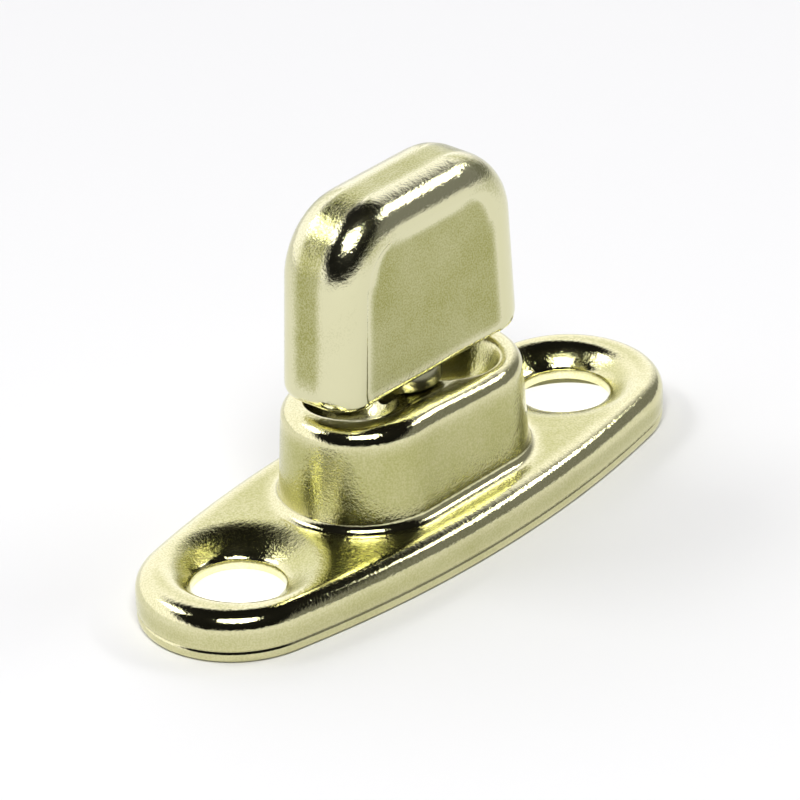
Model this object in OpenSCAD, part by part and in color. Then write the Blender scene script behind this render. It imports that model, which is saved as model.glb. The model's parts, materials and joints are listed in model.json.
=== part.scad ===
// Double-height turn-button fastener on a two-screw oval base.
// The origin is the centre of the plate's underside, +X runs along the plate and +Z up the stem.

/* [Base plate] */
// Length of the oval plate
plate_length = 33; // [31:0.5:36]
// Width of the oval plate
plate_width = 11.9; // [11.5:0.1:13]
// Radius of the plate's rounded ends
plate_end_r = 4.65; // [4:0.05:5]
// Height of the plate's top above the surface it is screwed to
plate_height = 2.4; // [2.2:0.1:2.8]
// Radius rolled along the plate's top edge
plate_shoulder_r = 0.9; // [0.7:0.1:1.4]
// Thickness of the pressed sheet
sheet = 0.6; // [0.5:0.05:0.7]

/* [Screw holes] */
// Distance between the two screw holes
hole_spacing = 23.4; // [22.5:0.1:24.5]
// Diameter of each screw hole
hole_d = 4.4; // [3.8:0.1:4.6]
// Diameter of the dish around each screw hole
dish_d = 8.4; // [7.6:0.1:8.4]
// Depth of the dish
dish_depth = 0.9; // [0.6:0.1:1]

/* [Turret] */
// Height of the turret's rim above the underside of the plate
turret_height = 7.4; // [7:0.1:8]
// Half the distance between the turret's two round ends
turret_reach = 2.85; // [2.5:0.05:3.1]
// Half the turret's width at the foot of its wall
turret_foot_r = 4; // [3.95:0.05:4.1]
// Half the turret's width just below its shoulder
turret_neck_r = 3.8; // [3.75:0.05:3.9]
// Radius of the turret's rounded shoulder
turret_shoulder_r = 0.8; // [0.7:0.05:0.9]
// Radius of the fillet between the plate and the turret
turret_fillet_r = 0.5; // [0.3:0.1:0.6]
// Half the width of the recess in the turret's top
recess_r = 2.8; // [2.7:0.05:2.8]
// Depth of the recess at the land that carries the stem
land_depth = 0.15; // [0.1:0.05:0.3]
// Radius of the round pocket on each side of the stem
pocket_r = 2.1; // [1.9:0.05:2.1]
// Distance of each pocket from the stem along the plate
pocket_x = 2.95; // [2.9:0.05:3.2]
// Distance of each pocket from the plate's middle line, on opposite sides of it
pocket_y = 0.4; // [0.1:0.1:0.4]

/* [Button] */
// Length of the button along its lower edge
button_length = 13.3; // [12.4:0.1:13.8]
// Thickness of the button
button_width = 4.5; // [4.3:0.1:5]
// Height of the button
button_height = 9.6; // [9:0.1:12]
// Gap between the turret's rim and the button
button_gap = 0.9; // [0.6:0.1:1.1]
// How much shorter the button is at its top than at its foot
button_draft = 1.1; // [0.8:0.1:1.6]
// Radius of the button's two upper corners
button_corner_r = 3.6; // [2.8:0.1:3.8]
// Radius rolled along the button's long edges and down its ends
button_edge_r = 1.6; // [0.8:0.1:1.7]

/* [Stem and spring] */
// Diameter of the stem
stem_d = 2.5; // [2.3:0.05:2.5]
// Diameter of the collar between the turret and the button
collar_d = 3.8; // [3.4:0.1:4]
// Wire diameter of the spring
wire_d = 0.5; // [0.4:0.05:0.5]
// Mean diameter of the spring
spring_d = 4.2; // [4:0.1:4.6]
// Turns in the spring
spring_turns = 3; // [2:0.5:3]
// Diameter of the friction washer under the turret's top
friction_washer_d = 6; // [5.8:0.1:6.2]
// Diameter of the washer that holds the spring
spring_washer_d = 5.6; // [5.2:0.1:6.2]

/* [Hidden] */
$fn = 64;

brass_plated = [0.69, 0.68, 0.51];
steel = [0.62, 0.62, 0.6];

touch = 0.02;          // play between parts that bear on each other
arc_steps = 6;         // steps in each rolled edge
gap = 0.05;            // running clearance between turning parts
foot_tuck = 0.25;      // how far the plate's cut edge is tucked in
foot_height = 0.5;     // height of the tucked-in edge

half_length = plate_length / 2;
half_width = plate_width / 2;
// the long side of the plate is an arc centred this far beyond the middle line
side_offset = (pow(half_length - plate_end_r, 2) - pow(half_width - plate_end_r, 2))
            / (2 * (half_width - plate_end_r));
side_r = half_width + side_offset;
side_angle = atan2(side_offset, half_length - plate_end_r);

hole_z = plate_height - dish_depth;
land_z = turret_height - land_depth;
land_under_z = land_z - sheet;
pocket_z = turret_height + 0.3;
pocket_under_z = pocket_z - pocket_r - sheet;

friction_washer_t = 0.5;
friction_washer_z = pocket_under_z - touch - friction_washer_t;
spring_washer_t = 0.4;
spring_washer_z = 1.3;
spigot_r = 0.9;
rivet_r = 1.5;
rivet_h = 0.5;
stem_foot_z = spring_washer_z - gap - rivet_h;
stem_r = stem_d / 2;
stem_head_r = 1.4;
stem_head_h = 0.8;

button_z = turret_height + button_gap;
button_top_z = button_z + button_height;
lip = 0.2;              // thickness of the shell's turned-in foot
stem_head_z = button_z + 4;
foot_corner_r = 0.8;
foot_roll = 0.2;        // height of the foot's roll as a share of the edge radius

spring_z = spring_washer_z + spring_washer_t;
spring_h = friction_washer_z - spring_z;

// a quarter arc from 0 to 90 degrees, as [x, z] steps
function quarter(r) = [for (i = [0:arc_steps]) r * [cos(90 * i / arc_steps), sin(90 * i / arc_steps)]];
function flip(points) = [for (i = [len(points) - 1:-1:0]) [-points[i][0], points[i][1]]];
function turn_half(points) = [for (p = points) -p];

// one quarter of the plate's outline, moved inward by inset
function oval_quarter(inset) = concat(
    [for (i = [0:10]) let (a = side_angle * i / 10)
        [half_length - plate_end_r + (plate_end_r - inset) * cos(a), (plate_end_r - inset) * sin(a)]],
    [for (i = [1:10]) let (a = side_angle + (90 - side_angle) * i / 10)
        [(side_r - inset) * cos(a), (side_r - inset) * sin(a) - side_offset]]);
function oval_half(inset) = let (q = oval_quarter(inset), m = flip(q))
    concat(q, [for (i = [1:len(m) - 1]) m[i]]);

// the plate's outline at height z, as a ring of [x, y, z] points
function oval_ring(z, inset) = let (upper = oval_half(inset))
    [for (p = concat(upper, turn_half([for (i = [1:len(upper) - 2]) upper[i]]))) [p[0], p[1], z]];

// closed solid skinned over rings that all have the same number of points
module loft(rings) {
    n = len(rings[0]);
    last = len(rings) - 1;
    points = [for (ring = rings, p = ring) p];
    sides = [for (i = [0:last - 1], k = [0:n - 1])
        let (a = n * i + k, b = n * i + (k + 1) % n) [a, a + n, b + n, b]];
    polyhedron(points, concat([[for (k = [0:n - 1]) k]], sides,
                              [[for (k = [n - 1:-1:0]) n * last + k]]));
}

// solid form of the plate: tucked-in foot, upright wall and rolled top edge
module plate_form(inset, top) {
    r = plate_shoulder_r - inset * 0.5;
    loft(concat([oval_ring(-inset, inset + foot_tuck), oval_ring(foot_height, inset)],
                [for (p = quarter(r)) oval_ring(top - r + p[1], inset + r - p[0])]));
}

// sweeps a profile of [radius, z] round a slot whose ends are reach from the middle
module slot_sweep(reach) {
    for (side = [0, 180])
        rotate(side)
            translate([reach, 0, 0])
                rotate(-90)
                    rotate_extrude(angle = 180) children();
    rotate([90, 0, 90])
        translate([0, 0, -reach])
            linear_extrude(2 * reach) {
                children();
                mirror([1, 0]) children();
            }
}

module turret_profile() {
    f = turret_fillet_r;
    s = turret_shoulder_r;
    foot_z = plate_height - sheet / 2;
    polygon(concat(
        [[0, foot_z], [turret_foot_r + f, foot_z], [turret_foot_r + f, plate_height]],
        [for (p = quarter(f)) [turret_foot_r + f - p[1], plate_height + f - p[0]]],
        [for (p = quarter(s)) [turret_neck_r - s + p[0], turret_height - s + p[1]]],
        [[0, turret_height]]));
}

module turret_hollow_profile() {
    foot = turret_foot_r - sheet;
    neck = turret_neck_r - sheet;
    bend = turret_shoulder_r - sheet;
    polygon([[0, -1], [foot, -1], [foot, plate_height + turret_fillet_r],
             [neck, land_under_z - bend], [neck - bend, land_under_z], [0, land_under_z]]);
}

module recess_profile() {
    polygon([[0, land_z], [recess_r - 0.5, land_z], [recess_r, turret_height],
             [recess_r, turret_height + 1], [0, turret_height + 1]]);
}

module at_pockets() {
    for (side = [-1, 1])
        translate([side * pocket_x, -side * pocket_y, pocket_z]) children();
}

module at_holes() {
    for (side = [-1, 1])
        translate([side * hole_spacing / 2, 0, 0]) children();
}

module base_plate() {
    color(brass_plated)
    difference() {
        union() {
            difference() {
                plate_form(0, plate_height);
                plate_form(sheet, plate_height - sheet);
            }
            at_holes()
                translate([0, 0, hole_z - sheet])
                    cylinder(h = dish_depth, r1 = hole_d / 2 + sheet, r2 = dish_d / 2 + sheet / 3);
            slot_sweep(turret_reach) turret_profile();
        }
        difference() {
            slot_sweep(turret_reach) turret_hollow_profile();
            at_pockets() sphere(r = pocket_r + sheet);
        }
        slot_sweep(turret_reach) recess_profile();
        at_pockets() sphere(r = pocket_r);
        cylinder(h = turret_height + 1, r = stem_r + gap);
        at_holes() {
            cylinder(h = plate_height, d = hole_d);
            translate([0, 0, hole_z])
                cylinder(h = dish_depth + touch, d1 = hole_d, d2 = dish_d);
        }
    }
}

module washer(z, thickness, d, hole_r) {
    translate([0, 0, z])
        difference() {
            cylinder(h = thickness, d = d);
            translate([0, 0, -1])
                cylinder(h = thickness + 2, r = hole_r);
        }
}

module friction_washer() {
    color(steel)
    washer(friction_washer_z, friction_washer_t, friction_washer_d, stem_r + gap);
}

module spring_washer() {
    color(steel)
    washer(spring_washer_z, spring_washer_t, spring_washer_d, spigot_r + gap);
}

// ring of points round the spring's wire at turn t, where the ends lie flat
function wire_ring(t) = let (
        rise = spring_h - wire_d - 2 * gap,
        climb = max(0, min(1, (t - 0.5) / (spring_turns - 1))),
        z = spring_z + gap + wire_d / 2 + rise * climb)
    [for (k = [0:7]) let (r = spring_d / 2 + wire_d / 2 * cos(45 * k))
        [r * cos(360 * t), r * sin(360 * t), z + wire_d / 2 * sin(45 * k)]];

module coil_spring() {
    color(steel)
    loft([for (i = [0:spring_turns * 24]) wire_ring(i / 24)]);
}

module stem_form() {
    spigot_z = stem_foot_z + rivet_h;
    shaft_z = spring_z + gap;
    collar_z = land_z + gap;
    rotate_extrude()
        polygon([[0, stem_foot_z], [rivet_r - 0.2, stem_foot_z], [rivet_r, stem_foot_z + 0.2],
                 [rivet_r, spigot_z], [spigot_r, spigot_z], [spigot_r, shaft_z], [stem_r, shaft_z],
                 [stem_r, collar_z], [collar_d / 2, collar_z], [collar_d / 2, button_z],
                 [stem_r, button_z], [stem_r, stem_head_z], [stem_head_r, stem_head_z],
                 [stem_head_r, stem_head_z + stem_head_h], [0, stem_head_z + stem_head_h]]);
}

module stem() {
    color(steel) stem_form();
}

// side view of the button, as [x, z] points, moved inward by inset
module button_outline(inset, foot_inset) {
    r = button_corner_r - inset;
    foot_r = max(foot_corner_r - foot_inset, 0.1);
    top_x = (button_length - button_draft) / 2 - inset - r;
    foot_x = button_length / 2 - inset - foot_r;
    foot_z = button_z + foot_inset;
    right = concat([for (p = quarter(foot_r)) [foot_x + p[1], foot_z + foot_r - p[0]]],
                   [for (p = quarter(r)) [top_x + p[0], button_top_z - inset - r + p[1]]]);
    polygon(concat(right, flip(right)));
}

// solid form of the button with rolled long edges
module button_form(wall, foot) {
    r = button_edge_r - wall;
    hull()
        for (p = quarter(r))
            rotate([90, 0, 0])
                linear_extrude(button_width - 2 * wall - 2 * (r - p[1]), center = true)
                    button_outline(wall + r - p[0], foot + (r - p[0]) * foot_roll);
}

module button_shell() {
    color(brass_plated)
    difference() {
        button_form(0, 0);
        button_form(sheet, lip);
        translate([0, 0, button_z])
            cube([button_length - 2 * sheet - 1.6, stem_d + 2 * lip, 4 * lip], center = true);
    }
}

module button_core() {
    color(brass_plated)
    difference() {
        button_form(sheet, lip);
        stem_form();
    }
}

base_plate();
friction_washer();
coil_spring();
spring_washer();
stem();
button_core();
button_shell();
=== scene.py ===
"""Looks of a double-height turn-button fastener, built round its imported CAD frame."""

import json
import math

import bmesh
import bpy
import numpy as np
from mathutils import Matrix, Vector, geometry

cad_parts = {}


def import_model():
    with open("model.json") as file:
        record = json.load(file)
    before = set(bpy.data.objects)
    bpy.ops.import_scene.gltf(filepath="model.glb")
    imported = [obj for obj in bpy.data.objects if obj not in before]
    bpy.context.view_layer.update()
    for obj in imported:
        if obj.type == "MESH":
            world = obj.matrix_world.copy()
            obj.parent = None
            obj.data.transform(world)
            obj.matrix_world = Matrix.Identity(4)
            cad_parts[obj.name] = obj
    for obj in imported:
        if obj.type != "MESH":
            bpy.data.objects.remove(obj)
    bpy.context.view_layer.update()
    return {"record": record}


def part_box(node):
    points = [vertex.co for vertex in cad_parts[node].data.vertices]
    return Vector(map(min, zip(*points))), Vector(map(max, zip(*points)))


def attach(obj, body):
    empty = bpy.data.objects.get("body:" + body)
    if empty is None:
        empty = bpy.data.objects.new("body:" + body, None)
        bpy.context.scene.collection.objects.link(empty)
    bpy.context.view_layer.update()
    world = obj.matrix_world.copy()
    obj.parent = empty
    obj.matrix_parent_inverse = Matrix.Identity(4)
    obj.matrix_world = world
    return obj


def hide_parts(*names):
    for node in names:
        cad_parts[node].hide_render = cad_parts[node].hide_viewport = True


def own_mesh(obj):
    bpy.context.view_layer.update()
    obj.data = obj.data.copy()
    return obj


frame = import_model()

# ---------------------------------------------------------------- sizes, in millimetres
MM = 0.001


def box_mm(node):
    """Lowest and highest corner of a CAD node."""
    low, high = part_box(node)
    return np.array(low) / MM, np.array(high) / MM


def mount_dims(name):
    """Dimensions of one of the record's mounts."""
    return next(m["dims"] for m in frame["record"]["mounts"] if m["name"] == name)


SHEET = 0.6                      # thickness of the pressed sheet
GAP = 0.05                       # running clearance between turning parts

# base plate
HALF_LENGTH, HALF_WIDTH, TURRET_TOP = box_mm("base_plate")[1]
PLATE_TOP = 2.4                  # height of the plate's flat top
PLATE_END_R = 4.65               # radius of the oval's ends
SHOULDER_R = 0.9                 # radius rolled along the plate's edge
SHOULDER_CUT = 0.35              # inset at which the rolled rings meet the plate's top patch
HOLE_X = mount_dims("screw_holes")["spacing_x_mm"] / 2
HOLE_R = mount_dims("screw_holes")["hole_r_mm"]
HOLE_EDGE = 0.06                 # break of the hole's edge
HOLE_SIDES = 120                 # points round a screw hole
DISH_DEPTH = 0.9
DISH_REACH = 4.0                 # mean radius of the dish round a hole
DISH_SKEW = 0.6                  # the dish reaches this much further toward the turret
DISH_HOLLOW = 0.45               # 0 is a bowl, 1.5 nearly flat at the hole and steep further out

# turret
REACH = 2.85                     # half the distance between the turret's round ends
TURRET_NECK_R = 3.8
TURRET_FOOT_R = 4.0
TURRET_SHOULDER_R = 0.8
TURRET_FILLET_R = 0.5
RIM_R = 2.95                     # where the rim turns down into the recess
RIM_WAVE = 0.1                   # the rim rises and falls this much round the turret
WAVE_FROM = 5.6                  # height on the turret's wall where the wave starts
LAND_Z = 7.25                    # top of the land round the stem
LAND_R = 2.5
LAND_CLIMB, LAND_POWER = 0.6, 10  # how far and how suddenly the land climbs to the rim at LAND_R
POCKET_X = 2.95
POCKET_Y = 0.5                   # each pocket sits this much off the middle line
POCKET_R = 2.35
POCKET_Z = 5.6                   # floor of the pockets
POCKET_POWER = 3                 # 2 is a round bowl, higher is flatter in the middle
BLEND = 0.1                      # softness of the edges between rim, land and pockets

# button
BUTTON_LOW, BUTTON_HIGH = box_mm("button_shell")
BUTTON_DRAFT = 0.55              # the button is this much shorter at each end of its top
BUTTON_CORNER_R = 3.6
BUTTON_EDGE_R = 1.6
FOOT_CORNER_R = 0.8
FOOT_EDGE_R = 0.35
LIP = 0.2                        # thickness of the shell's turned-in foot
MOUTH = (0.9, 0.8)               # opening in that foot, as shares of its length and width
FACE_STEP = 0.06                 # the flat faces are pressed in by this much inside the rolled edge
FACE_STEP_W = 0.22               # width of that step
TOP_SKIM = 0.0004                # the last section lies this far under the top
ROLL_LEAST = 0.1                 # least radius of the foot's roll on the inset forms

# stem, washers and spring
STEM_R = 1.25
STEM_TIP_R = 0.1                 # inside this radius a fan closes the stem's flat ends
SPIGOT_R = 0.9
COLLAR_R = 1.9
STEM_HEAD_R = 1.4
STEM_HEAD_H = 0.8
RIVET_R = 1.5
WIRE_R = 0.25
SPRING_TURNS = 3
GRIP = 0.01                      # clearance of parts fixed to each other

# spacing of mesh points, and how far they keep from a recess's rim and bore
PLATE_STEP, UNDERSIDE_STEP, RECESS_STEP, CORE_STEP = 0.16, 0.3, 0.11, 0.35
RIM_CLEAR, BORE_CLEAR = 0.05, 0.08

BEND_FLAT, BEND_TIGHT = 0.35, 0.8    # curvature, per millimetre, that is satin and that is polished

# ---------------------------------------------------------------- mesh building


class Skin:
    """Points in millimetres and the faces between them, gathered into one closed mesh."""

    def __init__(self):
        self.points = []
        self.faces = []

    def ring(self, points):
        start = len(self.points)
        self.points += [tuple(float(c) for c in p) for p in points]
        return list(range(start, len(self.points)))

    def bridge(self, a, b):
        n = len(a)
        self.faces += [(a[i], a[(i + 1) % n], b[(i + 1) % n], b[i]) for i in range(n)]

    def loft(self, rings):
        loops = [self.ring(r) for r in rings]
        for a, b in zip(loops, loops[1:]):
            self.bridge(a, b)
        return loops

    def cap(self, loop):
        """Closes a loop with a fan from its middle."""
        middle = self.ring([np.mean([self.points[i] for i in loop], axis=0)])[0]
        n = len(loop)
        self.faces += [(loop[i], loop[(i + 1) % n], middle) for i in range(n)]

    def patch(self, outer, holes, plan, height):
        """Fills a loop, less its holes, with triangles on the plan points, at height(x, y)."""
        inner = self.ring(np.column_stack([plan, height(plan[:, 0], plan[:, 1])]))
        loops = [outer] + holes
        order = [i for loop in loops for i in loop] + inner
        edges, start = [], 0
        for loop in loops:
            n = len(loop)
            edges += [(start + i, start + (i + 1) % n) for i in range(n)]
            start += n
        flat = [Vector(self.points[i][:2]) for i in order]
        found = geometry.delaunay_2d_cdt(flat, edges, [], 0, 1e-6, True)
        came_from = [order[ids[0]] for ids in found[3]]
        owner = {i: k for k, hole in enumerate(holes) for i in hole}
        for face in found[2]:
            corners = [came_from[i] for i in face]
            owners = {owner.get(i, -1) for i in corners}
            if len(owners) > 1 or -1 in owners:
                self.faces.append(tuple(corners))

    def piece(self, name, body, slot, material, node):
        """Makes the mesh, rides it on its body and lets it stand for its CAD node."""
        mesh = bpy.data.meshes.new(name)
        mesh.from_pydata([Vector(p) * MM for p in self.points], [], self.faces)
        shape = bmesh.new()
        shape.from_mesh(mesh)
        bmesh.ops.recalc_face_normals(shape, faces=shape.faces)
        shape.to_mesh(mesh)
        shape.free()
        mesh.shade_smooth()
        mesh.set_sharp_from_angle(angle=math.radians(50))
        mark_bends(mesh)
        mesh.materials.append(material)
        made = bpy.data.objects.new(name, mesh)
        bpy.context.scene.collection.objects.link(made)
        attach(made, body)
        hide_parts(node)
        return made


def mark_bends(mesh):
    """Writes attribute bend at each point: 0 on flats, 1 where the surface bends tightly."""
    count = len(mesh.vertices)
    place = np.zeros(count * 3)
    mesh.vertices.foreach_get("co", place)
    place = place.reshape(-1, 3) / MM
    normal = np.array([v.vector for v in mesh.vertex_normals])
    pairs = np.zeros(len(mesh.edges) * 2, int)
    mesh.edges.foreach_get("vertices", pairs)
    a, b = pairs.reshape(-1, 2).T
    length = np.linalg.norm(place[a] - place[b], axis=1) + 1e-6
    curve = np.linalg.norm(normal[a] - normal[b], axis=1) / length
    tight = np.zeros(count)
    np.maximum.at(tight, a, curve)
    np.maximum.at(tight, b, curve)
    share = smooth_step((tight - BEND_FLAT) / (BEND_TIGHT - BEND_FLAT))
    for _ in range(2):
        total, seen = share.copy(), np.ones(count)
        np.add.at(total, a, share[b])
        np.add.at(total, b, share[a])
        np.add.at(seen, a, 1)
        np.add.at(seen, b, 1)
        share = total / seen
    made = mesh.attributes.new("bend", "FLOAT", "POINT")
    made.data.foreach_set("value", share.astype(np.float32))


def smooth_step(t):
    t = np.clip(t, 0, 1)
    return t * t * (3 - 2 * t)


def soft_min(heights):
    """Lowest of the heights, with the edges between them rounded."""
    return -BLEND * np.log(sum(np.exp(-h / BLEND) for h in heights))


def drape(points, height, wall):
    """Sets the points' heights from height(x, y, wall)."""
    points[:, 2] = height(points[:, 0], points[:, 1], wall)
    return points


def arc(x, z, radius, start, end, steps):
    """Points (x, z) along an arc whose angles are in degrees from +X."""
    angles = np.radians(np.linspace(start, end, steps + 1))
    return [(x + radius * math.cos(a), z + radius * math.sin(a)) for a in angles]


def circle(x, y, z, radius, count):
    a = np.linspace(0, 2 * np.pi, count, endpoint=False)
    return np.column_stack([x + radius * np.cos(a), y + radius * np.sin(a), np.full(count, z)])


def hex_points(half_x, half_y, step):
    """A field of evenly spaced plan points."""
    rows = int(half_y / (step * 0.866))
    places = []
    for row in range(-rows, rows + 1):
        xs = np.arange(-half_x, half_x, step) + (step / 2 if row % 2 else 0)
        places.append(np.column_stack([xs, np.full(len(xs), row * step * 0.866)]))
    return np.vstack(places)


def mirror_quarter(centre, direction, radius):
    """A whole symmetric outline from its quarter in +X +Y, as centres, directions and radii."""
    def turned(rows, sx, sy, back):
        part = rows * [sx, sy]
        return part[::-1] if back else part
    keep = [slice(None), slice(1, None), slice(1, None), slice(1, -1)]
    signs = [(1, 1, False), (-1, 1, True), (-1, -1, False), (1, -1, True)]
    centres = np.vstack([turned(centre, *s)[k] for s, k in zip(signs, keep)])
    directions = np.vstack([turned(direction, *s)[k] for s, k in zip(signs, keep)])
    radii = np.concatenate([(radius[::-1] if s[2] else radius)[k] for s, k in zip(signs, keep)])
    return centres, directions, radii


# ---------------------------------------------------------------- the base plate's outlines
END_X = HALF_LENGTH - PLATE_END_R
SIDE_OFFSET = (END_X ** 2 - (HALF_WIDTH - PLATE_END_R) ** 2) / (2 * (HALF_WIDTH - PLATE_END_R))
SIDE_R = HALF_WIDTH + SIDE_OFFSET
SIDE_ANGLE = math.atan2(SIDE_OFFSET, END_X)


def oval_outline(count):
    """The plate's outline of an end arc and a side arc, evenly stepped."""
    end_length = PLATE_END_R * SIDE_ANGLE
    side_length = SIDE_R * (math.pi / 2 - SIDE_ANGLE)
    along = np.linspace(0, end_length + side_length, count // 4 + 1)
    on_end = along <= end_length
    angle = np.where(on_end, along / PLATE_END_R, SIDE_ANGLE + (along - end_length) / SIDE_R)
    direction = np.column_stack([np.cos(angle), np.sin(angle)])
    centre = np.where(on_end[:, None], [END_X, 0], [0, -SIDE_OFFSET])
    return mirror_quarter(centre, direction, np.where(on_end, PLATE_END_R, SIDE_R))


def slot_outline(count, radius):
    """The turret's outline of two half circles and two straight sides, evenly stepped."""
    end_length = radius * math.pi / 2
    along = np.linspace(0, end_length + REACH, count // 4 + 1)
    angle = np.minimum(along / radius, math.pi / 2)
    direction = np.column_stack([np.cos(angle), np.sin(angle)])
    middle = REACH - np.maximum(along - end_length, 0)
    centre = np.column_stack([middle, np.zeros(len(along))])
    return mirror_quarter(centre, direction, np.zeros(len(along)))


OVAL = oval_outline(480)
SLOT = slot_outline(320, TURRET_FOOT_R)


def oval_ring(inset, z):
    centre, direction, radius = OVAL
    plan = centre + (radius - inset)[:, None] * direction
    return np.column_stack([plan, np.full(len(plan), z)])


def slot_ring(radius, z):
    centre, direction, _ = SLOT
    plan = centre + radius * direction
    return np.column_stack([plan, np.full(len(plan), z)])


def plate_inset(x, y):
    """How far inside the plate's outline a point lies."""
    x, y = np.abs(x), np.abs(y)
    on_end = np.arctan2(y + SIDE_OFFSET, x) < SIDE_ANGLE
    return np.where(on_end, PLATE_END_R - np.hypot(x - END_X, y), SIDE_R - np.hypot(x, y + SIDE_OFFSET))


def slot_distance(x, y):
    """How far a point lies from the turret's middle line."""
    return np.hypot(x - np.clip(x, -REACH, REACH), y)


def plate_height(x, y, wall):
    """Top of the plate, or its underside when wall is the sheet's thickness."""
    radius = SHOULDER_R - wall
    fall = np.clip(radius - (plate_inset(x, y) - wall), 0, radius)
    top = PLATE_TOP - wall - radius + np.sqrt(radius ** 2 - fall ** 2)
    for side in (-1, 1):
        dx = x - side * HOLE_X
        out = np.hypot(dx, y)
        reach = DISH_REACH - DISH_SKEW * side * dx / np.maximum(out, 1e-6)
        u = np.clip((out - HOLE_R) / (reach - HOLE_R), 0, 1)
        top = top - DISH_DEPTH * (1 - u) ** 2 * (1 + DISH_HOLLOW * u)
    return top


def rim_wave(x, y):
    """The rim is high in two opposite quarters and low in the other two."""
    return RIM_WAVE * np.sin(2 * np.arctan2(y, x)) * np.clip(np.hypot(x, y) / REACH, 0, 1)


def recess_height(x, y, wall):
    """Floor of the recess in the turret's top, or its underside."""
    rim = TURRET_TOP + rim_wave(x, y)
    land = LAND_Z + LAND_CLIMB * (slot_distance(x, y) / LAND_R) ** LAND_POWER
    heights = [rim, land]
    for side in (-1, 1):
        out = np.hypot(x - side * POCKET_X, y + side * POCKET_Y)
        heights.append(POCKET_Z + (TURRET_TOP - POCKET_Z) * (out / POCKET_R) ** POCKET_POWER)
    return soft_min(heights) - wall


# ---------------------------------------------------------------- base plate and turret


def turret_profile(wall):
    """Radius and height from the recess's rim, over the shoulder and down to the plate."""
    shoulder_z = TURRET_TOP - TURRET_SHOULDER_R
    fillet_z = PLATE_TOP + TURRET_FILLET_R
    upper = arc(TURRET_NECK_R - TURRET_SHOULDER_R, shoulder_z, TURRET_SHOULDER_R - wall, 90, 0, 12)
    lower = arc(TURRET_FOOT_R + TURRET_FILLET_R, fillet_z, TURRET_FILLET_R + wall, 180, 270, 10)
    (top_x, top_z), (foot_x, foot_z) = upper[-1], lower[0]
    steps = 14
    between = [(top_x + (foot_x - top_x) * k / steps, top_z + (foot_z - top_z) * k / steps)
               for k in range(1, steps)]
    return [(RIM_R, TURRET_TOP)] + upper + between + lower


def turret_rings(wall):
    """The turret's wall, which follows the rim's wave above and the dishes below."""
    rings = []
    for radius, z in turret_profile(wall):
        ring = slot_ring(radius, z)
        x, y = ring[:, 0], ring[:, 1]
        high = np.clip((z + wall - WAVE_FROM) / (TURRET_TOP - WAVE_FROM), 0, 1)
        low = np.clip(1 - (z + wall - PLATE_TOP) / TURRET_FILLET_R, 0, 1)
        ring[:, 2] += rim_wave(x, y) * high + (plate_height(x, y, wall) - PLATE_TOP + wall) * low
        rings.append(ring)
    drape(rings[0], recess_height, wall)
    return rings


def recess(skin, top_loop, under_loop):
    """The recess in the turret's top and the sheet under it, joined by the stem's hole."""
    bore_r = STEM_R + GAP
    field = hex_points(REACH + RIM_R, RIM_R, RECESS_STEP)
    x, y = field.T
    inside = slot_distance(x, y) < RIM_R - RIM_CLEAR
    field = field[inside & (np.hypot(x, y) > bore_r + BORE_CLEAR)]
    bore = []
    for wall, loop in ((0, top_loop), (SHEET, under_loop)):
        bore.append(skin.ring(drape(circle(0, 0, 0, bore_r, 64), recess_height, wall)))
        skin.patch(loop, [bore[-1]], field, lambda px, py, w=wall: recess_height(px, py, w))
    skin.bridge(bore[0], bore[1])


def plate_face(skin, turret_loop, wall, step):
    """The plate's top or underside; gives back its rim and the edges of its screw holes."""
    cut = wall + SHOULDER_CUT
    rim = skin.ring(drape(oval_ring(cut, 0), plate_height, wall))
    hole_r = HOLE_R + HOLE_EDGE
    circles = [circle(side * HOLE_X, 0, 0, hole_r, HOLE_SIDES) for side in (-1, 1)]
    holes = [skin.ring(drape(hole, plate_height, wall)) for hole in circles]
    field = hex_points(HALF_LENGTH, HALF_WIDTH, step)
    x, y = field.T
    clear = plate_inset(x, y) > cut + step / 2
    clear &= slot_distance(x, y) > TURRET_FOOT_R + TURRET_FILLET_R + step / 2
    for side in (-1, 1):
        clear &= np.hypot(x - side * HOLE_X, y) > hole_r + step / 2
    skin.patch(rim, [turret_loop] + holes, field[clear], lambda px, py: plate_height(px, py, wall))
    return rim, holes


def screw_hole(skin, side, upper, lower):
    """The wall of a screw hole, from its edge in the dish to its edge underneath."""
    top = PLATE_TOP - DISH_DEPTH
    heights = (top - HOLE_EDGE, top - SHEET / 2, top - SHEET + HOLE_EDGE)
    loops = skin.loft([circle(side * HOLE_X, 0, z, HOLE_R, HOLE_SIDES) for z in heights])
    skin.bridge(upper, loops[0])
    skin.bridge(loops[-1], lower)


def plate_edge(skin, upper, lower):
    """The plate's rolled shoulder, its upright wall with the sheared lip, and back up inside."""
    start = math.degrees(math.acos((SHOULDER_R - SHOULDER_CUT) / SHOULDER_R))
    knee = PLATE_TOP - SHOULDER_R
    roll = arc(SHOULDER_R, knee, SHOULDER_R, 180 - start, 180, 14)[1:]
    outside = [(0.0, 1.15), (0.0, 0.9), (0.01, 0.72), (0.03, 0.64)]
    groove = [(0.1, 0.59), (0.1, 0.55), (0.05, 0.5)]
    foot = [(0.03, 0.42), (0.03, 0.26), (0.06, 0.12), (0.14, 0.03), (0.24, 0.0), (0.45, 0.0), (0.56, 0.05)]
    inside = [(SHEET, 0.15), (SHEET, 0.7), (SHEET, 1.1)]
    inner = arc(SHOULDER_R, knee, SHOULDER_R - SHEET, 180, 130, 5)
    profile = roll + outside + groove + foot + inside + inner
    loops = skin.loft([oval_ring(inset, z) for inset, z in profile])
    skin.bridge(upper, loops[0])
    skin.bridge(loops[-1], lower)


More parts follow.
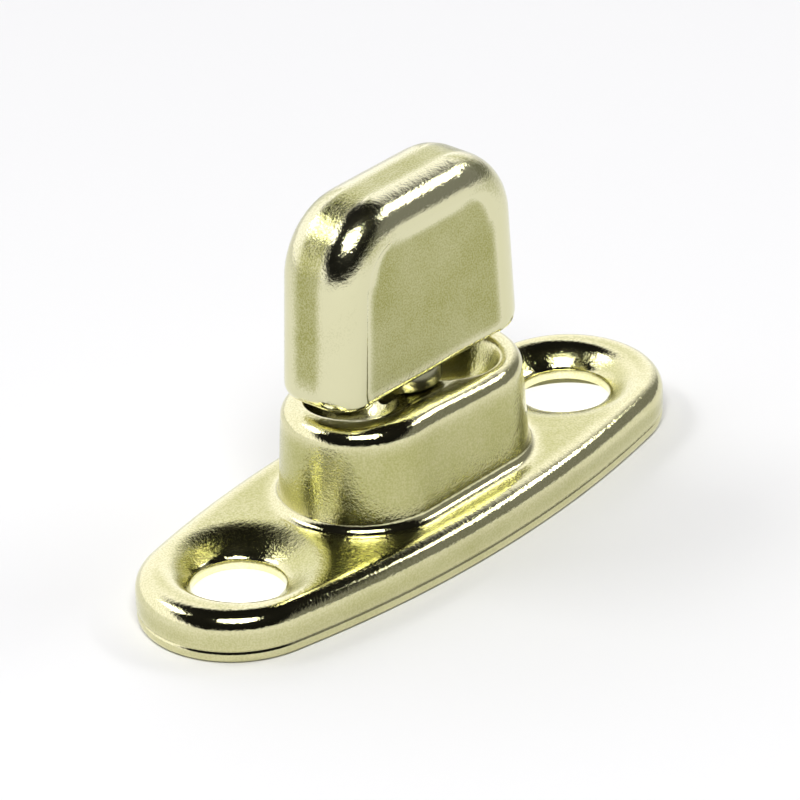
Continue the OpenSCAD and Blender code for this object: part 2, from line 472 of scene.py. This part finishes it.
def base_plate(material):
    skin = Skin()
    outer = skin.loft(turret_rings(0))
    inner = skin.loft(turret_rings(SHEET))
    recess(skin, outer[0], inner[0])
    top_rim, top_holes = plate_face(skin, outer[-1], 0, PLATE_STEP)
    under_rim, under_holes = plate_face(skin, inner[-1], SHEET, UNDERSIDE_STEP)
    for side, upper, lower in zip((-1, 1), top_holes, under_holes):
        screw_hole(skin, side, upper, lower)
    plate_edge(skin, top_rim, under_rim)
    return skin.piece("pressed_base", "base", "plated_brass", material, "base_plate")


# ---------------------------------------------------------------- button


class ButtonForm:
    """The button's outside down to height low, or the same form inset by wall."""

    def __init__(self, wall, low):
        self.wall, self.low = wall, low
        self.corner = BUTTON_CORNER_R - wall
        self.edge = BUTTON_EDGE_R - wall
        self.top = BUTTON_HIGH[2] - wall
        self.half = BUTTON_HIGH[1] - wall - self.edge

    def reach(self, z, inset):
        """Half length at height z of the form inset further by inset; the top corners are arcs."""
        share = np.clip((z - BUTTON_LOW[2]) / (BUTTON_HIGH[2] - BUTTON_LOW[2]), 0, 1)
        reach = BUTTON_HIGH[0] - BUTTON_DRAFT * share - self.wall - inset
        rise = z - (self.top - self.corner)
        if rise <= 0:
            return reach
        bend = self.corner - inset
        return reach - bend + math.sqrt(max(bend ** 2 - rise ** 2, 0))

    def foot_roll(self, z, radius):
        """How far the roll round the foot draws the outline in at height z."""
        radius = max(radius - self.wall, ROLL_LEAST)
        left = radius - (z - self.low)
        return radius - math.sqrt(max(radius ** 2 - left ** 2, 0)) if left > 0 else 0.0

    def pressed(self, x, z):
        """Depth of the pressed-in face, from the distance to the face's rounded outline."""
        if self.wall:
            return 0.0
        bend = self.corner - self.edge
        up = z - (self.top - self.corner)
        side = BUTTON_HIGH[0] - BUTTON_DRAFT - self.corner + bend
        across = x - (self.reach(z, self.edge) if up <= 0 else side)
        inside = min(-across, self.top - self.edge - z)
        if up > 0 and across > -bend:
            inside = bend - math.hypot(across + bend, up)
        return FACE_STEP * smooth_step(inside / FACE_STEP_W)

    def section(self, z):
        """The closed outline at height z, from its quarter in +X +Y."""
        turn = math.pi / 2
        if z > self.top - self.edge:
            turn = math.acos(np.clip((self.edge - (self.top - z)) / self.edge, -1, 1))
        end_steps, bend_steps, step_steps, face_steps = 5, 12, 4, 24
        plan = [(self.reach(z, 0), self.half * k / end_steps) for k in range(end_steps)]
        for k in range(bend_steps + 1):
            a = turn * k / bend_steps
            plan.append((self.reach(z, self.edge * (1 - math.cos(a))), self.half + self.edge * math.sin(a)))
        end_x, side_y = plan[-1]
        face = [end_x - FACE_STEP_W * k / step_steps for k in range(1, step_steps + 1)]
        face += [face[-1] * (1 - k / face_steps) for k in range(1, face_steps + 1)]
        plan = np.array(plan + [(x, side_y - self.pressed(x, z)) for x in face])
        reach, breadth = plan[0, 0], plan[-1, 1]
        drawn_x, drawn_y = self.foot_roll(z, FOOT_CORNER_R), self.foot_roll(z, FOOT_EDGE_R)
        plan *= [(reach - drawn_x) / reach, (breadth - drawn_y) / breadth]
        back = plan[::-1]
        full = np.vstack([plan, (back * [-1, 1])[1:], (plan * [-1, -1])[1:], (back * [1, -1])[1:-1]])
        return np.column_stack([full, np.full(len(full), z)])

    def heights(self):
        """Section heights: close together in the foot's roll, the corners and the top's roll."""
        angles = np.radians((0, 12, 24, 36, 48, 60, 75, 90))
        foot = [self.low + FOOT_CORNER_R * (1 - math.cos(a)) for a in angles]
        body = list(np.linspace(foot[-1], self.top - BUTTON_CORNER_R, 12)[1:])
        corner = list(np.linspace(body[-1], self.top - self.edge, 14)[1:])
        roll = [self.top - self.edge + self.edge * math.sin(a) for a in np.radians(range(6, 90, 6))]
        return foot + body + corner + roll + [self.top - TOP_SKIM]

    def loft(self, skin):
        """Adds the form to a skin, open at the foot, and gives back its loops."""
        return skin.loft([self.section(z) for z in self.heights()])


def close_top(skin, loop):
    """Closes the button's top with rings that shrink onto a flat middle."""
    edge = np.array([skin.points[i] for i in loop])
    middle = edge.mean(axis=0)
    last = loop
    for share in (0.8, 0.55, 0.3, 0.1):
        ring = skin.ring(middle + (edge - middle) * [share, share, 0])
        skin.bridge(last, ring)
        last = ring
    skin.cap(last)


def button_shell(material):
    skin = Skin()
    low = BUTTON_LOW[2]
    outer = ButtonForm(0, low).loft(skin)
    inner = ButtonForm(SHEET, low + LIP).loft(skin)
    for loop in (outer[-1], inner[-1]):
        close_top(skin, loop)
    mouth = np.array([skin.points[i] for i in outer[0]]) * [*MOUTH, 1]
    lip = skin.loft([mouth, mouth + [0, 0, LIP]])
    skin.bridge(outer[0], lip[0])
    skin.bridge(lip[1], inner[0])
    return skin.piece("button_cover", "button", "plated_brass", material, "button_shell")


def button_core(material):
    """The slug inside the shell, with a blind bore that is wider round the stem's head."""
    skin = Skin()
    low = BUTTON_LOW[2] + LIP
    outer = ButtonForm(SHEET + 2 * GRIP, low).loft(skin)
    close_top(skin, outer[-1])
    head = box_mm("stem")[1][2]
    shaft_r, head_r, head_low = STEM_R + GRIP, STEM_HEAD_R + GRIP, head - STEM_HEAD_H
    profile = ((shaft_r, low), (shaft_r, head_low), (head_r, head_low), (head_r, head + GRIP))
    bore = skin.loft([circle(0, 0, z, r, 64) for r, z in profile])
    skin.cap(bore[-1])
    reach, breadth = np.abs(np.array([skin.points[i] for i in outer[0]])).max(axis=0)[:2]
    end_clear, side_clear, bore_clear = 0.9, 0.2, 0.25
    field = hex_points(6, 2, CORE_STEP)
    x, y = field.T
    inside = (np.abs(x) < reach - end_clear) & (np.abs(y) < breadth - side_clear)
    field = field[inside & (np.hypot(x, y) > STEM_R + bore_clear)]
    skin.patch(outer[0], [bore[0]], field, lambda px, py: np.full(len(px), low))
    return skin.piece("cast_slug", "button", "cast_core", material, "button_core")


# ---------------------------------------------------------------- stem, washers and spring


def lathe(profile, count=96, closed=False):
    """Turns a profile of (radius, z) about the stem's axis."""
    skin = Skin()
    loops = skin.loft([circle(0, 0, z, r, count) for r, z in profile])
    if closed:
        skin.bridge(loops[-1], loops[0])
    else:
        skin.cap(loops[0])
        skin.cap(loops[-1])
    return skin


def eased(corners, ease, closed):
    """A profile with each of its corners broken by a small bevel of three points."""
    most = 0.45                      # share of a side that a bevel may take
    bulge = 0.29                     # puts the middle point on an arc between the other two
    n = len(corners)
    points = []
    for i, corner in enumerate(corners):
        if not closed and i in (0, n - 1):
            points.append(corner)
            continue
        here = np.array(corner)
        before, after = np.array(corners[i - 1]), np.array(corners[(i + 1) % n])
        back_length, on_length = np.linalg.norm(before - here), np.linalg.norm(after - here)
        back, on = (before - here) / back_length, (after - here) / on_length
        cut = min(ease, most * back_length, most * on_length)
        bevel = (here + back * cut, here + (back + on) * cut * bulge, here + on * cut)
        points += [tuple(point) for point in bevel]
    return points


def stem(material):
    """The pin: riveted end, spigot, shaft, collar under the button and head inside it."""
    foot_z, top_z = box_mm("stem")[0][2], box_mm("stem")[1][2]
    washer_low, washer_high = box_mm("spring_washer")
    spigot_z, shaft_z = washer_low[2] - GAP, washer_high[2] + GAP
    collar_z, button_z, head_z = LAND_Z + GAP, BUTTON_LOW[2], top_z - STEM_HEAD_H
    rivet = [(STEM_TIP_R, foot_z), (RIVET_R, foot_z), (RIVET_R, spigot_z)]
    spigot = [(SPIGOT_R, spigot_z), (SPIGOT_R, shaft_z)]
    shaft = [(STEM_R, shaft_z), (STEM_R, collar_z)]
    collar = [(COLLAR_R, collar_z), (COLLAR_R, button_z)]
    neck = [(STEM_R, button_z), (STEM_R, head_z)]
    head = [(STEM_HEAD_R, head_z), (STEM_HEAD_R, top_z), (STEM_TIP_R, top_z)]
    skin = lathe(eased(rivet + spigot + shaft + collar + neck + head, 0.12, False))
    return skin.piece("turned_stem", "button", "stem_steel", material, "stem")


def washer(name, node, hole_r, body, material):
    low, high = box_mm(node)
    corners = [(hole_r, low[2]), (high[0], low[2]), (high[0], high[2]), (hole_r, high[2])]
    return lathe(eased(corners, 0.08, True), closed=True).piece(name, body, "spring_steel", material, node)


def coil_spring(material):
    """A round-wire spring that climbs less at its ends, where the turns lie nearly flat."""
    low, high = box_mm("coil_spring")
    mean_r = high[0] - WIRE_R
    steps, sides = 72, 16
    rise = high[2] - low[2] - 2 * WIRE_R
    around = np.linspace(0, 2 * np.pi, sides, endpoint=False)
    rings = []
    for k in range(SPRING_TURNS * steps + 1):
        turn = k / steps
        eased_climb = smooth_step((turn - 0.35) / (SPRING_TURNS - 0.7))
        even_climb = np.clip((turn - 0.5) / (SPRING_TURNS - 1), 0, 1)
        middle_z = low[2] + WIRE_R + rise * (0.3 * eased_climb + 0.7 * even_climb)
        angle = 2 * math.pi * turn
        out = mean_r + WIRE_R * np.cos(around)
        x, y, z = out * math.cos(angle), out * math.sin(angle), middle_z + WIRE_R * np.sin(around)
        rings.append(np.column_stack([x, y, z]))
    skin = Skin()
    loops = skin.loft(rings)
    skin.cap(loops[0])
    skin.cap(loops[-1])
    spring = skin.piece("spring_wire", "spring_seat", "spring_steel", material, "coil_spring")
    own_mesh(spring)
    return spring


# ---------------------------------------------------------------- materials


class Nodes:
    """Short calls for building a tree of shader nodes."""

    def __init__(self, tree):
        self.tree = tree
        tree.nodes.clear()

    def feed(self, socket, value):
        """Links another node's output to a socket, or sets the socket to a constant."""
        if isinstance(value, bpy.types.NodeSocket):
            self.tree.links.new(value, socket)
        else:
            socket.default_value = value

    def add(self, kind, settings=(), **values):
        node = self.tree.nodes.new(kind)
        for name, value in dict(settings).items():
            setattr(node, name, value)
        for name, value in values.items():
            self.feed(node.inputs[name.replace("_", " ")], value)
        return node

    def noise(self, vector, scale, detail, rough):
        made = self.add("ShaderNodeTexNoise", Vector=vector, Scale=scale, Detail=detail, Roughness=rough)
        return made.outputs["Fac"]

    def span(self, value, low, high, out_low, out_high):
        """Carries value from low..high to out_low..out_high, smoothly, and holds it outside."""
        made = self.add("ShaderNodeMapRange", {"interpolation_type": "SMOOTHSTEP"}, Value=value,
                        From_Min=low, From_Max=high, To_Min=out_low, To_Max=out_high)
        return made.outputs["Result"]

    def maths(self, kind, a, b):
        made = self.add("ShaderNodeMath", {"operation": kind})
        self.feed(made.inputs[0], a)
        self.feed(made.inputs[1], b)
        return made.outputs[0]

    def sum(self, a, b):
        return self.maths("ADD", a, b)

    def times(self, a, b):
        return self.maths("MULTIPLY", a, b)

    def vector_maths(self, kind, a, b, output):
        made = self.add("ShaderNodeVectorMath", {"operation": kind})
        self.feed(made.inputs[0], a)
        self.feed(made.inputs[1], b)
        return made.outputs[output]

    def mix(self, share, a, b):
        """Blends two colours; the node's colour sockets are its inputs 6 and 7 and its output 2."""
        made = self.add("ShaderNodeMix", {"data_type": "RGBA"})
        for number, value in ((0, share), (6, a), (7, b)):
            self.feed(made.inputs[number], value)
        return made.outputs[2]


def metal(name, colour, speck_and_sheen, satin, polished, grain, grain_depth, bend_sheen=0.6):
    """Metal with a fine grain, satin on its flats and polished on its tight bends.

    colour is that of the flats, and the paler second colour that of the specks and of a painted
    highlight on the bends; satin and polished are roughnesses; grain is in specks per millimetre and
    grain_depth in millimetres; the last argument is how strongly a bend shows that painted highlight.
    """
    material = bpy.data.materials.new(name)
    material.use_nodes = True
    n = Nodes(material.node_tree)
    place = n.add("ShaderNodeTexCoord").outputs["Object"]
    mm = n.vector_maths("MULTIPLY", place, (1 / MM,) * 3, "Vector")
    bend = n.add("ShaderNodeAttribute", {"attribute_name": "bend"}).outputs["Fac"]
    flat = n.maths("SUBTRACT", 1.0, bend)
    fine = n.noise(mm, grain, 3.0, 0.6)
    ripple = n.noise(mm, grain * 0.3, 2.0, 0.5)
    cloud = n.noise(mm, 0.35, 3.0, 0.6)
    specks = n.noise(mm, grain * 1.7, 1.0, 0.5)

    mottle = n.sum(n.span(cloud, 0.3, 0.7, 0.0, 0.2), n.span(specks, 0.35, 0.65, 0.0, 0.3))
    # bends take the paler colour as a painted highlight; clouds and specks are the plating's own random
    # tone
    base = n.mix(n.sum(mottle, n.times(bend, bend_sheen)), (*colour, 1), (*speck_and_sheen, 1))

    cloud_rough = n.span(cloud, 0.3, 0.7, satin - 0.03, satin + 0.03)
    fine_rough = n.span(fine, 0.3, 0.7, -0.03, 0.04)
    rough = n.sum(n.times(n.sum(cloud_rough, fine_rough), flat), n.times(bend, polished))

    height = n.sum(fine, n.times(ripple, 0.8))
    depth = n.sum(n.times(flat, 0.5), 0.5)
    bump = n.add("ShaderNodeBump", Strength=1.0, Distance=grain_depth * MM, Height=n.times(height, depth))
    shader = n.add("ShaderNodeBsdfPrincipled", Base_Color=base, Metallic=1.0, Roughness=rough,
                   Normal=bump.outputs[0])
    n.add("ShaderNodeOutputMaterial", Surface=shader.outputs[0])
    return material


# ---------------------------------------------------------------- stage, light and camera
CAMERA_AZIMUTH = -48.2
CAMERA_ELEVATION = 28.5
CAMERA_ROLL = 1.95
CAMERA_DISTANCE = 0.311
CAMERA_LENS = 300
CAMERA_AIM = Vector((-0.00011, 0.00006, 0.00603))

FLOOR_HALF = 12.0
FLOOR_Z, PATCH_Z = -2e-5, -1e-5  # just under the part, so that no two surfaces share a plane

PALE = (1.4, 1.38, 1.5)          # walls behind the object
GREY = (0.25, 0.25, 0.25)        # walls on the camera's side
DARK = (0.01, 0.01, 0.01)        # ceiling and the front above the camera
PALE_SIDE = (-165, 15)           # azimuth and elevation of the middle of the pale walls
DARK_FRONT = (-50, 50)           # and of the dark front

LAMP_DISTANCE = 0.7
LAMPS = (
    # name, azimuth, elevation, width, height, power
    ("key", -47, 56, 0.32, 0.22, 3.4),
    ("right", 62, 42, 0.3, 0.05, 0.8),
    ("left", -149, 48, 0.3, 0.15, 0.9),
)


def direction(azimuth, elevation):
    """Unit vector toward a place, with azimuth in degrees from -Y toward +X."""
    a, e = math.radians(azimuth), math.radians(elevation)
    return Vector((math.sin(a) * math.cos(e), -math.cos(a) * math.cos(e), math.sin(e)))


def camera():
    made = bpy.data.objects.new("camera", bpy.data.cameras.new("camera"))
    bpy.context.scene.collection.objects.link(made)
    toward = direction(CAMERA_AZIMUTH, CAMERA_ELEVATION)
    made.location = CAMERA_AIM + toward * CAMERA_DISTANCE
    turn = (-toward).to_track_quat("-Z", "Y").to_matrix().to_4x4()
    roll = Matrix.Rotation(math.radians(-CAMERA_ROLL), 4, "Z")
    made.rotation_euler = (turn @ roll).to_euler()
    made.data.sensor_width = 36
    made.data.lens = CAMERA_LENS
    made.data.clip_start = 0.01
    bpy.context.scene.camera = made


def lamp(name, azimuth, elevation, width, height, power):
    """A soft rectangular lamp that looks at the object."""
    light = bpy.data.lights.new(name, "AREA")
    light.shape = "RECTANGLE"
    light.size, light.size_y = width, height
    light.energy = power
    made = bpy.data.objects.new(name, light)
    bpy.context.scene.collection.objects.link(made)
    toward = direction(azimuth, elevation)
    made.location = toward * LAMP_DISTANCE
    made.rotation_euler = (-toward).to_track_quat("-Z", "Y").to_euler()


def lay(name, points, faces, sockets):
    """Lays a flat piece of the stage, with a plain material of its own."""
    mesh = bpy.data.meshes.new(name)
    mesh.from_pydata(points, [], faces)
    made = bpy.data.objects.new(name, mesh)
    bpy.context.scene.collection.objects.link(made)
    material = bpy.data.materials.new(name)
    material.use_nodes = True
    shader = material.node_tree.nodes["Principled BSDF"]
    for socket, value in sockets.items():
        shader.inputs[socket].default_value = value
    mesh.materials.append(material)


def floor():
    corners = [(x * FLOOR_HALF, y * FLOOR_HALF, FLOOR_Z) for x, y in ((-1, -1), (1, -1), (1, 1), (-1, 1))]
    lay("floor", corners, [(0, 1, 2, 3)],
        {"Base Color": (0.9, 0.9, 0.89, 1), "Roughness": 0.9, "Specular IOR Level": 0.1})


def under_light():
    """A glowing patch on the floor under the plate, light painted in so that the screw holes show white."""
    skin = Skin()
    skin.cap(skin.ring(oval_ring(SHEET * 2, PATCH_Z / MM)))
    lay("under_light", [Vector(p) * MM for p in skin.points], skin.faces,
        {"Base Color": (0.9, 0.9, 0.9, 1), "Emission Color": (1, 1, 1, 1), "Emission Strength": 0.9})


def world():
    """Pale walls behind the object, grey walls elsewhere, and a dark ceiling and front."""
    made = bpy.data.worlds.new("studio")
    bpy.context.scene.world = made
    made.use_nodes = True
    n = Nodes(made.node_tree)
    look = n.add("ShaderNodeTexCoord").outputs["Generated"]

    def facing(toward):
        return n.vector_maths("DOT_PRODUCT", look, toward, "Value")

    pale = n.span(facing(direction(*PALE_SIDE)), -0.2, 0.2, 0.0, 1.0)
    below_ceiling = n.span(facing((0, 0, 1)), 0.68, 0.8, 1.0, 0.0)
    beside_front = n.span(facing(direction(*DARK_FRONT)), 0.42, 0.55, 1.0, 0.0)
    walls = n.mix(pale, (*GREY, 1), (*PALE, 1))
    colour = n.mix(n.times(below_ceiling, beside_front), (*DARK, 1), walls)
    light = n.add("ShaderNodeBackground", Color=colour, Strength=1.0)
    n.add("ShaderNodeOutputWorld", Surface=light.outputs[0])


bpy.context.scene.view_settings.view_transform = "Standard"

plate_metal = metal("plated_brass", colour=(0.43, 0.425, 0.155), speck_and_sheen=(0.74, 0.71, 0.43),
                    satin=0.16, polished=0.08, grain=7.0, grain_depth=0.02)
# The button's plating is a darker, more olive copy of the plate's: partly its own deeper tone, partly
# painted shade for the shade on its flat sides; its bends also take more of the painted highlight.
shaded_button_metal = metal("plated_button_painted_shade", colour=(0.31, 0.31, 0.085), speck_and_sheen=(0.72, 0.7, 0.45),
                     satin=0.16, polished=0.08, grain=7.0, grain_depth=0.02, bend_sheen=1.3)
cast_metal = metal("cast_core", colour=(0.5, 0.48, 0.33), speck_and_sheen=(0.6, 0.58, 0.44),
                   satin=0.5, polished=0.4, grain=5.0, grain_depth=0.02)
# The stem's steel is given a very dark colour: painted shade for the shadow it stands in under the button.
shaded_stem_metal = metal("turned_steel_painted_shade", colour=(0.2, 0.195, 0.12), speck_and_sheen=(0.3, 0.29, 0.19),
                     satin=0.34, polished=0.25, grain=12.0, grain_depth=0.004)
drawn_metal = metal("drawn_steel", colour=(0.5, 0.5, 0.48), speck_and_sheen=(0.62, 0.62, 0.6),
                    satin=0.25, polished=0.15, grain=14.0, grain_depth=0.004)

base_plate(plate_metal)
button_shell(shaded_button_metal)
button_core(cast_metal)
stem(shaded_stem_metal)
washer("thrust_washer", "friction_washer", STEM_R + GAP, "base", drawn_metal)
washer("seat_washer", "spring_washer", SPIGOT_R + GAP, "spring_seat", drawn_metal)
coil_spring(drawn_metal)

floor()
under_light()
world()
for row in LAMPS:
    lamp(*row)
camera()
